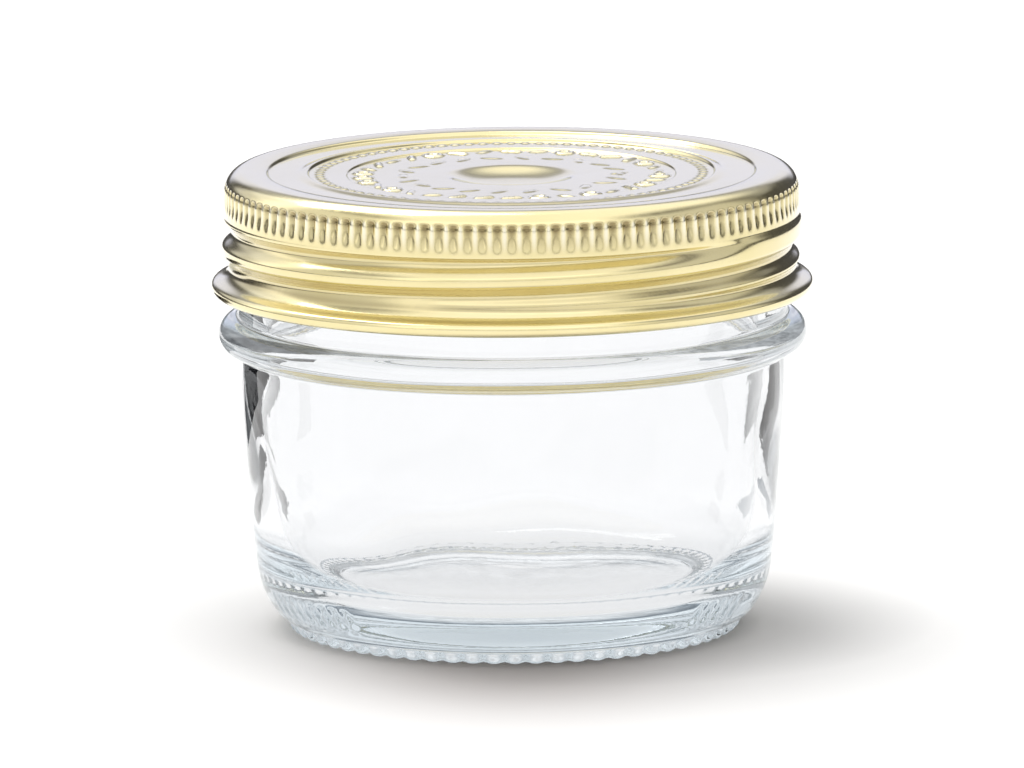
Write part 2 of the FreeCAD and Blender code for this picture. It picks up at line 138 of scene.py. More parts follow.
def join(*parts):
    """Chain outlines, dropping the repeated point where they meet."""
    out = [parts[0]]
    for part in parts[1:]:
        meets = np.hypot(*(part[0] - out[-1][-1])) < 1e-6
        out.append(part[1:] if meets else part)
    return np.concatenate(out)


def smooth(x):
    x = np.clip(x, 0, 1)
    return x * x * (3 - 2 * x)


def angles(count):
    return np.arange(count) * TAU / count


def pulse(th, count):
    """A wave from 0 to 1, repeated count times round the axis."""
    return 0.5 + 0.5 * np.cos(count * th)


def ripple(th, z, table):
    """Slow ripples: a sum of a few waves."""
    out = 0
    for height, per_turn, per_mm, phase in table:
        out = out + height * np.sin(per_turn * th + per_mm * z + phase)
    return out


# ------------------------------------------------------------------ turned meshes
class Skin:
    """Collects rings of points round the Z axis and stitches them into one closed mesh."""

    def __init__(self):
        self.verts, self.faces, self.rings, self.painted_shadings = [], [], [], []

    def add(self, points, painted_shadings):
        ids = list(range(len(self.verts), len(self.verts) + len(points)))
        self.verts += points
        self.painted_shadings += painted_shadings
        if self.rings:
            self.stitch(self.rings[-1], ids)
        self.rings.append(ids)

    def ring(self, r, z, count, painted_shading=0.0):
        """A ring of points. r, z and tone are numbers or arrays.

        The last value is painted light on the finish, from -1 painted shade to 1 painted
        highlight.
        """
        th = angles(count)
        r, z, painted_shading = (np.broadcast_to(np.asarray(v, float), (count,)) for v in (r, z, painted_shading))
        self.add(list(zip(r * np.cos(th), r * np.sin(th), z)), list(painted_shading))

    def sweep(self, outline, count):
        """One plain ring for each point of an outline."""
        for r, z in outline:
            self.ring(r, z, count)

    def tip(self, z):
        """One point on the axis."""
        self.add([(0.0, 0.0, float(z))], [0.0])

    def stitch(self, a, b):
        na, nb = len(a), len(b)
        if na == 1:
            self.faces += [(a[0], b[(j + 1) % nb], b[j]) for j in range(nb)]
        elif nb == 1:
            self.faces += [(a[j], a[(j + 1) % na], b[0]) for j in range(na)]
        elif na == nb:
            self.faces += [(a[j], a[(j + 1) % na], b[(j + 1) % nb], b[j]) for j in range(na)]
        else:
            self.fan(*((a, b, 1) if na > nb else (b, a, -1)))

    def fan(self, fine, coarse, turn):
        """Triangles between rings of unlike counts; turn is -1 to wind them the other way."""
        share = len(fine) // len(coarse)
        middle = share // 2
        for j in range(len(coarse)):
            edge = [fine[(j * share + i) % len(fine)] for i in range(share + 1)]
            here, following = coarse[j], coarse[(j + 1) % len(coarse)]
            triangles = [(*edge[i:i + 2][::turn], here if i < middle else following)
                         for i in range(share)]
            triangles.insert(middle, (edge[middle], following, here)[::turn])
            self.faces += triangles

    def close(self):
        """Join the last ring to the first."""
        self.stitch(self.rings[-1], self.rings[0])

    def build(self, name):
        mesh = bpy.data.meshes.new(name)
        mesh.from_pydata([tuple(MM * c for c in v) for v in self.verts], [], self.faces)
        painted_shading = mesh.attributes.new("painted_shading", "FLOAT", "POINT")
        painted_shading.data.foreach_set("value", np.array(self.painted_shadings, np.float32))
        mesh.validate()
        # a negative volume means that the faces point inward
        mesh.calc_loop_triangles()
        co = np.array([v.co for v in mesh.vertices])
        tri = np.array([t.vertices for t in mesh.loop_triangles])
        normals = np.cross(co[tri[:, 1]], co[tri[:, 2]])
        if np.einsum("ij,ij->i", co[tri[:, 0]], normals).sum() < 0:
            mesh.flip_normals()
        mesh.polygons.foreach_set("use_smooth", [True] * len(mesh.polygons))
        mesh.update()
        ob = bpy.data.objects.new(name, mesh)
        bpy.context.scene.collection.objects.link(ob)
        return ob


# ------------------------------------------------------------------ screw thread
def lead_fade(deg, lead):
    inside = np.minimum(deg - lead[0], lead[1] - deg) / LEAD_FADE
    rise = 0.5 - 0.5 * np.cos(np.pi * np.clip(inside, 0, 1))
    return np.where(inside >= 1, 1.0, np.where(inside <= 0, 0.0, rise))


def helix(th, z, z180, half_width, lead, section):
    """Thread strength, 0 to 1. section gives it from the distance to the thread's middle."""
    best = 0.0
    for turn in range(THREAD_TURNS):
        deg = np.degrees(th) + 360 * turn
        u = np.abs(z - (z180 + PITCH * (deg - 180) / 360)) / half_width
        best = np.maximum(best, np.where(u < 1, section(u), 0) * lead_fade(deg, lead))
    return best


def ridge(th, z):
    """Outward height of the neck thread."""
    return (RIDGE_R - NECK_R) * helix(th, z, LID_LEAD_Z180 + NECK_ABOVE_LID, RIDGE_HALF,
                                      NECK_LEAD, lambda u: smooth((1 - u) / 0.72))


def groove(th, z):
    """Strength of the lid thread, cleared away above the band."""
    clear = smooth((BAND_TOP_Z + 0.75 - z) / 0.9)
    return clear * helix(th, z, LID_LEAD_Z180, GROOVE_HALF, LID_LEAD,
                         lambda u: np.cos(np.pi * np.clip(u, -1, 1) / 2) ** 2)


# ------------------------------------------------------------------ glass jar
FOOT_NOTCHES = 66
NOTCH_IN, NOTCH_UP = 0.24, 0.26  # how far a notch cuts inward and upward
STROKE_Z, STROKE_HEIGHT = 5.6, 0.15
STROKE_STEP = 3.7                # degrees from stroke to stroke
# middle of the group in degrees, lean, strokes on each side of the middle
STROKE_GROUPS = ((-90 - 56, -0.35, 4), (-90 + 54, 0.35, 2))

# height, waves per turn, phase per mm of z, phase
INNER_WAVES = [(0.10, 3, 0.10, 0.4), (0.08, 5, -0.16, 1.9), (0.06, 8, 0.27, 4.1),
               (0.05, 2, 0.34, 2.2)]
OUTER_WAVES = [(0.030, 4, 0.12, 1.0), (0.022, 7, -0.2, 3.3), (0.015, 11, 0.31, 0.2)]

# outlines of the glass, as (r, z)
UNDERSIDE = [(0, 2.70), (10, 2.55), (16, 2.30), (27, 1.45), (30.4, 0.75), (31.6, 0.06)]
FOOT_SIDE = [(33.05, 0.0), (33.62, 0.22), (33.98, 0.80), (34.12, 1.50)]
FOOT_STEP = [(34.08, 1.62), (34.12, 1.72), (34.30, 1.78), (34.62, 1.92)]
HEEL = [(34.62, 1.92), (35.35, 2.42), (36.25, 3.40), (37.35, 5.30), (38.20, 7.50), (38.65, 9.75)]
BODY = [(38.65, 9.75), (39.00, 13.0), (39.55, 19.0), (40.00, 25.0), (40.42, 31.0),
        (40.70, 36.0), (40.80, 40.6)]
LOW_COVE = [(40.80, 40.6), (40.80, 41.55), (40.94, 42.05), (41.40, 42.34)]
INSIDE = [(MOUTH_R, 46.0), (37.10, 40.0), (36.95, 35.0), (36.55, 27.0), (36.00, 19.0),
          (35.25, 13.6), (34.05, 10.5), (31.60, 8.15), (27.60, 6.90), (23.0, 6.50)]
INSIDE_FLOOR = [(23.0, 6.50), (17.0, 6.55), (9.0, 6.80), (0, 6.95)]


def strokes(th, z):
    """Height of the low slanted strokes on the heel, in two groups."""
    out = np.zeros_like(th)
    for middle, lean, count in STROKE_GROUPS:
        for k in range(-count, count + 1):
            centre = math.radians(middle + k * STROKE_STEP)
            x = (np.angle(np.exp(1j * (th - centre))) * 37.5) - (z - STROKE_Z) * lean
            u = np.clip(1 - np.abs(x) / 0.80, 0, 1)
            v = np.clip(1 - np.abs(z - STROKE_Z) / 2.2, 0, 1)
            out = np.maximum(out, smooth(u * 1.3) * smooth(v * 2.6))
    return STROKE_HEIGHT * out


def jar_foot(skin, th):
    """Underside and the notched ring the jar stands on."""
    skin.tip(UNDERSIDE[0][1])
    skin.sweep(spline(UNDERSIDE, 34, OUT, (0.8, -0.6))[1:], GLASS_COLUMNS)
    foot = join(np.array([(31.6, 0.06), (31.95, 0.0)]), line((31.95, 0.0), (33.05, 0.0), 5),
                spline(FOOT_SIDE, 9, OUT, (0.05, 1)))
    notch = pulse(th, FOOT_NOTCHES) ** 1.6
    for r, z in foot[1:]:
        outward = smooth((r - 32.6) / 0.8)
        upward = smooth((1.25 - z) / 0.9) * smooth((r - 31.7) / 0.4)
        skin.ring(r - NOTCH_IN * outward * notch * smooth((1.75 - z) / 0.7),
                  z + NOTCH_UP * upward * notch, GLASS_COLUMNS)
    skin.sweep(FOOT_STEP, GLASS_COLUMNS)


def jar_outside(skin, th):
    """Heel, body, bead and threaded neck, from the bottom up."""
    for r, z in spline(HEEL, 34, (1, 0.55), (0.09, 1))[1:]:
        height = strokes(th, z)
        skin.ring(r + height * 0.9, z - height * 0.2, GLASS_COLUMNS)
    for r, z in spline(BODY, 30, (0.09, 1), UP)[1:]:
        fade = smooth((z - 9.5) / 6) * smooth((41 - z) / 4)
        skin.ring(r + fade * ripple(th, z, OUTER_WAVES), z, GLASS_COLUMNS)
    bead = arc(BEAD_R, BEAD_Z, BEAD_ROUND, -80, 82, 30)
    high_cove = [tuple(bead[-1]), (41.52, 47.42), (41.30, 47.95)]
    skin.sweep(spline(LOW_COVE, 8, UP, (1, 0.12))[1:], GLASS_COLUMNS)
    skin.sweep(bead, GLASS_COLUMNS)
    skin.sweep(spline(high_cove, 8, (-1, 0.12), UP)[1:], GLASS_COLUMNS)
    for z in np.linspace(48.3, RIM_Z - LIP_OUT, 54):
        skin.ring(NECK_R + ridge(th, z), z, GLASS_COLUMNS)


def jar_inside(skin, th):
    """Rim, inner wall and inner floor, from the top down."""
    skin.sweep(arc(NECK_R - LIP_OUT, RIM_Z - LIP_OUT, LIP_OUT, 0, 90, 7)[1:], GLASS_COLUMNS)
    skin.sweep([(r, RIM_Z) for r in (39.9, 39.2, 38.6)], GLASS_COLUMNS)
    skin.sweep(arc(MOUTH_R + LIP_IN, RIM_Z - LIP_IN, LIP_IN, 90, 180, 7), GLASS_COLUMNS)
    wall = join(line((MOUTH_R, RIM_Z - LIP_IN), (MOUTH_R, 46.0), 16),
                spline(INSIDE, 60, DOWN, (-1, -0.03)))
    for r, z in wall[1:]:
        fade = smooth((60 - z) / 12) * smooth((z - 6.5) / 4)
        skin.ring(r + fade * ripple(th, z, INNER_WAVES), z, GLASS_COLUMNS)
    for r, z in spline(INSIDE_FLOOR, 22, (-1, -0.03), IN)[1:-1]:
        skin.ring(r, z + 0.012 * math.sin(r * 0.7), GLASS_COLUMNS)
    skin.tip(INSIDE_FLOOR[-1][1])


def jar():
    skin = Skin()
    th = angles(GLASS_COLUMNS)
    jar_foot(skin, th)
    jar_outside(skin, th)
    jar_inside(skin, th)
    return skin.build("glass_jar_moulding")


# ------------------------------------------------------------------ ornament on the lid
EMBOSS_R0, EMBOSS_R1 = 13.5, 30.2
BEADS, BEADS_R = 84, 28.75
MOTIFS, MOTIFS_R = 34, 22.3
LEAVES, LEAVES_R = 22, 16.2
BORDER_HALF = 2.2                # half width of each border
LEAF_KIND, DASH_KIND = 0, 1      # any other kind is a small ring
MOTIF = rng.integers(0, 3, MOTIFS)
TILT = rng.uniform(-1.2, 1.2, MOTIFS)


def cells(th, count, radius, phase):
    """Number of the cell, and distance round the circle from the middle of the cell."""
    place = th * count / TAU + phase
    return np.floor(place).astype(int), (np.mod(place, 1) - 0.5) * TAU / count * radius


def tilted(round_by, out_by, tilt):
    return (round_by * np.cos(tilt) + out_by * np.sin(tilt),
            -round_by * np.sin(tilt) + out_by * np.cos(tilt))


def leaf(a, b, half_length, half_width):
    return np.clip(1 - (a / half_length) ** 2 - (b / half_width) ** 2, 0, 1) ** 0.5


def emboss(r, th):
    """Height of the pressed ornament: a beaded ring round two borders of plain motifs."""
    if not EMBOSS_R0 < r < EMBOSS_R1:
        return 0.0
    round_by = cells(th, BEADS, 28.6, 0.5)[1]
    d = np.hypot(round_by, r - BEADS_R)
    beads = 0.20 * smooth(1.5 * (1 - (d / 0.85) ** 2))
    # outer border of leaves, dashes and small rings
    cell, round_by = cells(th, MOTIFS, 22.4, 0.0)
    kind = MOTIF[cell % MOTIFS]
    out_by = r - MOTIFS_R
    a, b = tilted(round_by, out_by, TILT[cell % MOTIFS])
    dash = smooth(2.6 * (1 - np.abs(b) / 0.55)) * smooth(3 * (1 - np.abs(a) / 1.9))
    ring = smooth(2.4 * (1 - np.abs(np.hypot(round_by, out_by) - 1.15) / 0.50))
    motif = np.where(kind == LEAF_KIND, leaf(a, b, 1.65, 0.62),
                     np.where(kind == DASH_KIND, dash, ring))
    height = np.maximum(beads, 0.27 * motif * (np.abs(out_by) < BORDER_HALF))
    # inner border of leaves
    cell, round_by = cells(th, LEAVES, LEAVES_R, 0.37)
    out_by = r - LEAVES_R
    a, b = tilted(round_by, out_by, TILT[(cell * 3 + 1) % MOTIFS])
    leaves = 0.17 * leaf(a, b, 1.9, 0.75) * (np.abs(out_by) < BORDER_HALF)
    return np.maximum(height, leaves)


# ------------------------------------------------------------------ screw lid
LID_MIDDLE_Z = 67.0

# wall below the flutes down to the hem: threaded band, recess and flare, as (r, z)
BAND = [(CREST_R, 62.85), (CREST_R + 0.08, 62.55), (BAND_R - 0.12, 62.10), (BAND_R, 61.6),
        (BAND_R, 60.0), (BAND_R, 58.4), (BAND_R, 57.1), (BAND_R - 0.05, 56.45),
        (BAND_R - 0.30, 55.85), (42.78, 55.25), (42.52, 54.70), (42.74, 54.10),
        (43.35, 53.50), (HEM_R - 0.78, 53.05), (HEM_R - 0.18, 52.66), (HEM_R, HEM_Z)]
RECESS_Z = 54.8
# rolled hem: round the outside, then back up within the roll, as (r, z)
HEM_OUTSIDE = [(HEM_R, HEM_Z), (HEM_R - 0.05, HEM_Z - 0.42), (HEM_R - 0.40, HEM_Z - 0.98),
               (HEM_R - 1.02, HEM_LOW_Z), (HEM_R - 1.40, HEM_LOW_Z + 0.20),
               (HEM_R - 1.32, HEM_LOW_Z + 0.64)]
HEM_INSIDE = [(HEM_R - 1.32, HEM_LOW_Z + 0.64), (HEM_R - 1.12, HEM_LOW_Z + 0.72),
              (HEM_R - 0.90, HEM_LOW_Z + 0.66), (HEM_R - 0.52, HEM_LOW_Z + 0.86),
              (HEM_R - LID_T, HEM_Z)]


def top_profile():
    """Outer side of the closed top from the middle to the shoulder, as (r, z)."""
    return join(
        spline([(0, LID_MIDDLE_Z), (2.5, 67.06), (5.4, 67.30), (7.9, 67.90), (9.0, 68.22),
                (10.0, 68.36)], 26, OUT, (1, 0.02)),
        line((10.0, 68.36), (13.6, 68.36), 8),
        line((13.6, 68.36), (24.3, 68.36), 40),
        spline([(24.3, 68.36), (24.50, 68.38), (24.78, 68.62), (25.05, 68.64)], 9, OUT, OUT),
        line((25.05, 68.64), (30.1, 68.64), 21),
        spline([(30.1, 68.64), (30.26, 68.66), (30.60, 69.04), (30.90, 69.06)], 10, OUT, OUT),
        spline([(30.90, 69.06), (31.8, 68.86), (33.0, 68.78), (36.15, 68.78)], 14, OUT, OUT),
        spline([(36.15, 68.78), (36.32, 68.80), (36.74, 69.20), (37.00, 69.27),
                (37.8, 69.35), (38.9, LID_TOP_Z)], 18, OUT, OUT))


def top_columns(r, full):
    """Fewer columns near the middle of the top."""
    return FLUTES // 2 if r < 4 else (FLUTES if r < 9.9 else full)


def shoulder(angle, inset=0.0):
    """Point on the rounded shoulder, at an angle in degrees from level."""
    a = math.radians(angle)
    return (SHOULDER_R + (SHOULDER_W - inset) * math.cos(a),
            SHOULDER_Z + (SHOULDER_H - inset) * math.sin(a))


def flute(z):
    """How deep the pressed grip flutes are at height z, 0 to 1."""
    return smooth((FLUTE_TOP_Z - z) / 0.80) * smooth((z - FLUTE_LOW_Z) / 3.00)


def flute_painted_shade(z):
    """Painted shade in the flutes, most of all at their upper ends."""
    return (-smooth((FLUTE_TOP_Z - z) / 0.45) * smooth((z - FLUTE_LOW_Z) / 2.6)
            * (0.46 + 0.90 * smooth((z - FLUTE_TOP_Z + 2.3) / 1.5)))


def lid_top(skin, outer):
    """Outside of the top and the upper part of the shoulder."""
    th = angles(TOP_COLUMNS)
    skin.tip(LID_MIDDLE_Z)
    for r, z in outer[1:]:
        height = emboss(r, th)
        # the raised ornament carries a painted highlight
        skin.ring(r, z + height, top_columns(r, TOP_COLUMNS), 2.2 * height)
    skin.sweep([(39.5, LID_TOP_Z), (SHOULDER_R, LID_TOP_Z)], TOP_COLUMNS)
    skin.sweep([shoulder(a) for a in np.linspace(90, 42, 9)[1:]], TOP_COLUMNS)


def lid_flutes(skin):
    """Grip flutes pressed into the upright wall, with painted highlights on the crests between
    them and painted shade in the flutes.
    """
    th = angles(FLUTE_COLUMNS)
    wave = pulse(th, FLUTES)
    depth = wave ** 1.1
    crest_painted_highlight = smooth((0.42 - wave) / 0.42)
    # painted shade in the flutes, strongest at front and back, about half as strong at the
    # sides, with a slight wobble round the lid
    deep = wave ** 0.8 * (0.74 - 0.26 * np.cos(2 * th)) * (0.94 + 0.06 * np.sin(5 * th + 1.0))
    wall = [shoulder(a) for a in np.linspace(40, 0, 15)]
    wall += [(CREST_R, z) for z in
             (65.7, 65.0, 64.3, 63.9, 63.7, 63.55, 63.4, 63.25, 63.1, 62.98)]
    # each ring carries painted shade in the flutes and a painted highlight on the crests
    for r, z in wall:
        skin.ring(r - FLUTE_DEPTH * flute(z) * depth, z, FLUTE_COLUMNS,
                  flute_painted_shade(z) * deep + 0.95 * flute(z) * crest_painted_highlight)


def lid_band(skin):
    """Threaded band outside, rolled hem, then the inside of the band from the bottom up."""
    th = angles(PLAIN_COLUMNS)
    base = spline(BAND, 84, DOWN, DOWN)
    r, z = base[:, :1], base[:, 1:]
    # the thread is pressed in only where the wall stands out beyond its bottom
    share = np.clip((r - ROLL_R) / (BAND_R - ROLL_R), 0, 1)
    out_r = r - (BAND_R - ROLL_R) * share * groove(th, z)
    # painted shade along the thread groove and in the recess
    painted_shading = -0.30 * groove(th, z + 0.35) - 0.30 * np.exp(-((z - RECESS_Z) / 0.5) ** 2)
    for i in range(len(base)):
        skin.ring(out_r[i], base[i, 1], PLAIN_COLUMNS, painted_shading[i])
    hem = join(spline(HEM_OUTSIDE, 22, DOWN, (0.4, 1)), spline(HEM_INSIDE, 14, (0.6, 0.8), UP))
    skin.sweep(hem[1:-1], PLAIN_COLUMNS)
    # a sheet thickness square to the outside
    dr = np.gradient(out_r, axis=0)
    dz = np.gradient(z, axis=0)
    length = np.hypot(dr, dz)
    in_r = out_r + LID_T * dz / length
    in_z = z - LID_T * dr / length
    in_r[0], in_z[0] = CREST_R - LID_T, base[0, 1]
    in_r[-1], in_z[-1] = HEM_R - LID_T, HEM_Z
    for i in range(len(base) - 1, -1, -1):
        skin.ring(in_r[i], in_z[i], PLAIN_COLUMNS)


def lid_inside(skin, outer):
    """Inside of the fluted wall, with softened flutes, and the underside of the top."""
    depth = pulse(angles(TOP_COLUMNS), FLUTES) ** 1.1
    for z in (62.98, 63.25, 63.55, 63.9, 65.0, SHOULDER_Z):
        skin.ring(CREST_R - LID_T - INNER_FLUTE_DEPTH * flute(z) * depth, z, TOP_COLUMNS)
    for a in np.linspace(0, 40, 9)[1:]:
        r, z = shoulder(a, LID_T)
        skin.ring(r - INNER_FLUTE_DEPTH * flute(z + 0.15) * depth, z, TOP_COLUMNS)
    skin.sweep([shoulder(a, LID_T) for a in np.linspace(48, 90, 7)], PLAIN_COLUMNS)
    # underside, a sheet thickness below; points that crowd or turn back are skipped
    th = angles(PLAIN_COLUMNS)
    back = outer[::-1]
    slope = np.gradient(back, axis=0)
    length = np.hypot(slope[:, 0], slope[:, 1])
    under_r = back[:, 0] - LID_T * slope[:, 1] / length
    under_z = back[:, 1] + LID_T * slope[:, 0] / length
    last = math.inf
    for r, z in zip(under_r[:-1], under_z[:-1]):
        if r > last - 0.12 or r < 1.2:
            continue
        last = r
        skin.ring(r, min(z, LID_TOP_Z - LID_T) + emboss(r, th), top_columns(r, PLAIN_COLUMNS))
    skin.tip(LID_MIDDLE_Z - LID_T)


def lid():
    skin = Skin()
    outer = top_profile()
    lid_top(skin, outer)
    lid_flutes(skin)
    lid_band(skin)
    lid_inside(skin, outer)
    return skin.build("screw_lid_shell")


# ------------------------------------------------------------------ disc and ring
def disc():
    """Pressed disc: a sunken face with two raised steps, and a rim that lies on the ring."""
    z, pan, step = DISC_TOP_Z, PAN_Z, PAN_Z + 0.22
    top = join(
        line((1.0, pan + 0.35), (5.0, pan + 0.33), 4),
        spline([(5.0, pan + 0.33), (6.5, step), (7.4, pan + 0.02), (8.4, pan)], 8, OUT, OUT),
        line((8.4, pan), (20.0, pan), 12),
        spline([(20.0, pan), (20.25, pan + 0.05), (20.6, pan + 0.20), (21.0, step)],
               6, OUT, OUT),
        line((21.0, step), (30.2, step), 8),
        spline([(30.2, step), (30.5, pan + 0.20), (30.9, pan + 0.03), (31.3, pan)],
               6, OUT, OUT),
        line((31.3, pan), (35.6, pan), 5),
        spline([(35.6, pan), (36.05, step), (36.36, pan + 1.25), (37.15, z - 0.55), (38.0, z)],
               22, OUT, OUT),
        line((38.0, z), (40.15, z), 6),
        spline([(40.15, z), (40.40, z - 0.08), (40.5, z - 0.30)], 6, OUT, DOWN))
    slope = np.gradient(top, axis=0)
    length = np.hypot(slope[:, 0], slope[:, 1])
    under = np.c_[top[:, 0] + DISC_T * slope[:, 1] / length,
                  top[:, 1] - DISC_T * slope[:, 0] / length]
    under = under[under[:, 0] < 40.30]
    under[:, 1] = np.where(under[:, 0] > 37.9, z - DISC_T, under[:, 1])
    skin = Skin()
    skin.tip(top[0, 1])
    skin.sweep(top, PLAIN_COLUMNS)
    skin.sweep(under[::-1], PLAIN_COLUMNS)
    skin.tip(under[0, 1])
    return skin.build("sealing_disc_pressing")


def seal():
    """Ring between glass and disc, with shallow ripples in the face that meets the glass."""
    z0, z1 = RIM_Z, DISC_TOP_Z - DISC_T
    r0, r1 = SEAL_R0, SEAL_R1
    middle = (r0 + r1) / 2
    edge = 0.24                  # rounding of the lower edges
    bevel = 0.10
    face = [(r, z0 + 0.07 * max(0, math.cos((r - middle) * TAU / 0.9)) ** 2)
            for r in np.linspace(r0 + edge, r1 - edge, 21)]
    skin = Skin()
    skin.sweep([*face, *arc(r1 - edge, z0 + edge, edge, -90, 0, 6)[1:],
                (r1, z1 - 0.12), (r1 - bevel, z1), (39.4, z1), (r0 + bevel, z1),
                (r0, z1 - 0.12), *arc(r0 + edge, z0 + edge, edge, 180, 270, 6)[:-1]],
               PLAIN_COLUMNS)
    skin.close()
    return skin.build("sealing_ring_band")


# ------------------------------------------------------------------ shader helpers
class Shader:
    """Adds nodes to one emptied node tree. Apart from node(), methods return outputs."""

    def __init__(self, owner):
        owner.use_nodes = True
        self.tree = owner.node_tree
        self.tree.nodes.clear()

    def node(self, kind, inputs=None, **settings):
        """Inputs are linked where a socket is given and set where a value is given."""
        node = self.tree.nodes.new("ShaderNode" + kind)
        for key, value in settings.items():
            setattr(node, key, value)
        for key, value in (inputs or {}).items():
            socket = node.inputs[key]
            if isinstance(value, bpy.types.NodeSocket):
                self.tree.links.new(value, socket)
            else:
                socket.default_value = (*value, 1) if socket.type == "RGBA" else value
        return node

    def outs(self, kind, inputs=None, **settings):
        return self.node(kind, inputs, **settings).outputs

    def math(self, operation, *values):
        return self.outs("Math", dict(enumerate(values)), operation=operation)[0]

    def times(self, *values):
        out = values[0]
        for value in values[1:]:
            out = self.math("MULTIPLY", out, value)
        return out

    def vector_math(self, operation, *values):
        return self.outs("VectorMath", dict(enumerate(values)), operation=operation)

    def remap(self, value, source, target=(0.0, 1.0), **settings):
        return self.outs("MapRange", {"Value": value, "From Min": source[0],
                                      "From Max": source[1], "To Min": target[0],
                                      "To Max": target[1]}, **settings)["Result"]

    def noise(self, coords, scale, detail, rough):
        return self.outs("TexNoise", {"Vector": coords, "Scale": scale, "Detail": detail,
                                      "Roughness": rough})["Fac"]

    def ramp(self, value, stops, interpolation="LINEAR"):
        node = self.node("ValToRGB", {"Fac": value})
        elements = node.color_ramp.elements
        while len(elements) < len(stops):
            elements.new(0.5)
        for element, (position, colour) in zip(elements, stops):
            element.position = position
            element.color = (*colour, 1)
        node.color_ramp.interpolation = interpolation
        return node.outputs["Color"]

    def mix(self, factor, a, b, blend="MIX"):
        """Mix two colours; inputs 6 and 7 of the node are its colours."""
        return self.outs("Mix", {"Factor": factor, 6: a, 7: b}, data_type="RGBA",
                         blend_type=blend)[2]

    def mix_shader(self, factor, a, b):
        return self.outs("MixShader", {"Fac": factor, 1: a, 2: b})["Shader"]

    def bump(self, height, strength, distance, **inputs):
        return self.outs("Bump", {"Height": height, "Strength": strength,
                                  "Distance": distance, **inputs})["Normal"]

    def emission(self, colour, **inputs):
        return self.outs("Emission", {"Color": colour, **inputs})["Emission"]


def new_material(name):
    material = bpy.data.materials.new(name)
    return material, Shader(material)


def grey(value):
    return (value, value, value)


# ------------------------------------------------------------------ glass
# brightness of the painted glow inside the glass, darker edge on, from facing the viewer (0) to
# edge on (1)
PAINTED_GLOW_BY_FACING = [(0.0, (0.95, 0.955, 0.96)), (0.35, (0.84, 0.85, 0.86)),
                  (0.62, (0.62, 0.63, 0.645)), (0.85, (0.30, 0.305, 0.31)),
                  (1.0, (0.08, 0.08, 0.08))]
PAINTED_GLOW_TOP = 0.050                 # metres of height that the next table covers
# painted glow by height: darker at the foot, with thin painted dark bands below and above the
# bead
PAINTED_GLOW_BY_HEIGHT = [(0.0, (0.36, 0.40, 0.44)), (0.030, (0.40, 0.44, 0.48)), (0.050, grey(1.0)),
                  (0.80, grey(1.0)), (0.838, (0.50, 0.50, 0.49)), (0.862, grey(1.0)),
                  (0.93, grey(1.0)), (0.95, (0.48, 0.47, 0.44)), (0.975, (0.95, 0.95, 0.93))]


def painted_glass_glow(sh, coords):
    """A painted glow that stands in for light that has bounced about inside the glass for long:
    the average of the room.
    """
    facing = sh.outs("LayerWeight", {"Blend": 0.5})["Facing"]
    by_facing = sh.ramp(facing, PAINTED_GLOW_BY_FACING)
    position = sh.outs("NewGeometry")["Position"]
    place = sh.outs("SeparateXYZ", {0: position})
    by_height = sh.ramp(sh.remap(place["Z"], (0.0, PAINTED_GLOW_TOP)), PAINTED_GLOW_BY_HEIGHT)
    # painted dark bands at the sides between heel and bead, more so on the left
    side = sh.remap(sh.math("ABSOLUTE", place["X"]), (0.0345, 0.0368), (0.60, 1.0))
    above_heel = sh.remap(place["Z"], (0.0135, 0.0175))
    below_bead = sh.remap(place["Z"], (0.0425, 0.0415))
    left_more = sh.remap(place["X"], (-0.01, 0.01), (0.80, 0.52))
    painted_band_amount = sh.times(side, above_heel, below_bead, left_more)
    level = sh.mix(1.0, by_facing, by_height, "MULTIPLY")
    with_painted_bands = sh.mix(painted_band_amount, level, (0.03, 0.035, 0.04))
    blotch = sh.noise(coords, scale=330, detail=3, rough=0.6)
    speck = sh.remap(blotch, (0.38, 0.62), (0.78, 1.25))
    return sh.emission(sh.mix(1.0, with_painted_bands, speck, "MULTIPLY"), Strength=1.0)


def glass_material():
    material, sh = new_material("clear_glass")
    coords = sh.outs("TexCoord")["Object"]
    # faint moulding marks: slow ripple with a little fine grain
    slow = sh.noise(coords, scale=55, detail=2, rough=0.5)
    fine = sh.noise(coords, scale=900, detail=2, rough=0.6)
    marks = sh.outs("Mix", {"Factor": 0.12, 2: slow, 3: fine})[0]
    glass = sh.outs("BsdfPrincipled", {
        "Base Color": (0.960, 0.960, 0.965),
        "Transmission Weight": 1.0,
        "IOR": 1.52,
        "Normal": sh.bump(marks, strength=0.05, distance=0.0006),
        "Roughness": sh.remap(slow, (0.3, 0.7), (0.0, 0.018)),
    })["BSDF"]
    path = sh.outs("LightPath")
    # rays that have bounced long inside the glass show the painted glow instead
    use_painted_glow = sh.math("GREATER_THAN", path["Ray Depth"], 5.5)
    body = sh.mix_shader(use_painted_glow, glass, painted_glass_glow(sh, coords))
    # lamps reach through the glass, as bright caustics would
    clear = sh.outs("BsdfTransparent", {"Color": (0.80, 0.805, 0.805)})["BSDF"]
    tint = sh.outs("VolumeAbsorption", {"Color": (0.67, 0.80, 0.87), "Density": 9.0})["Volume"]
    sh.node("OutputMaterial", {
        "Surface": sh.mix_shader(path["Is Shadow Ray"], body, clear), "Volume": tint})
    material.cycles.emission_sampling = "NONE"
    return material


# ------------------------------------------------------------------ lacquer and rubber
# painted shade and painted highlight colours, mixed in by the shading attribute
PAINTED_SHADE_COLOUR = (0.20, 0.14, 0.045)      # where the tone is deep
PAINTED_HIGHLIGHT_COLOUR = (0.99, 0.96, 0.84)     # where the tone is pale


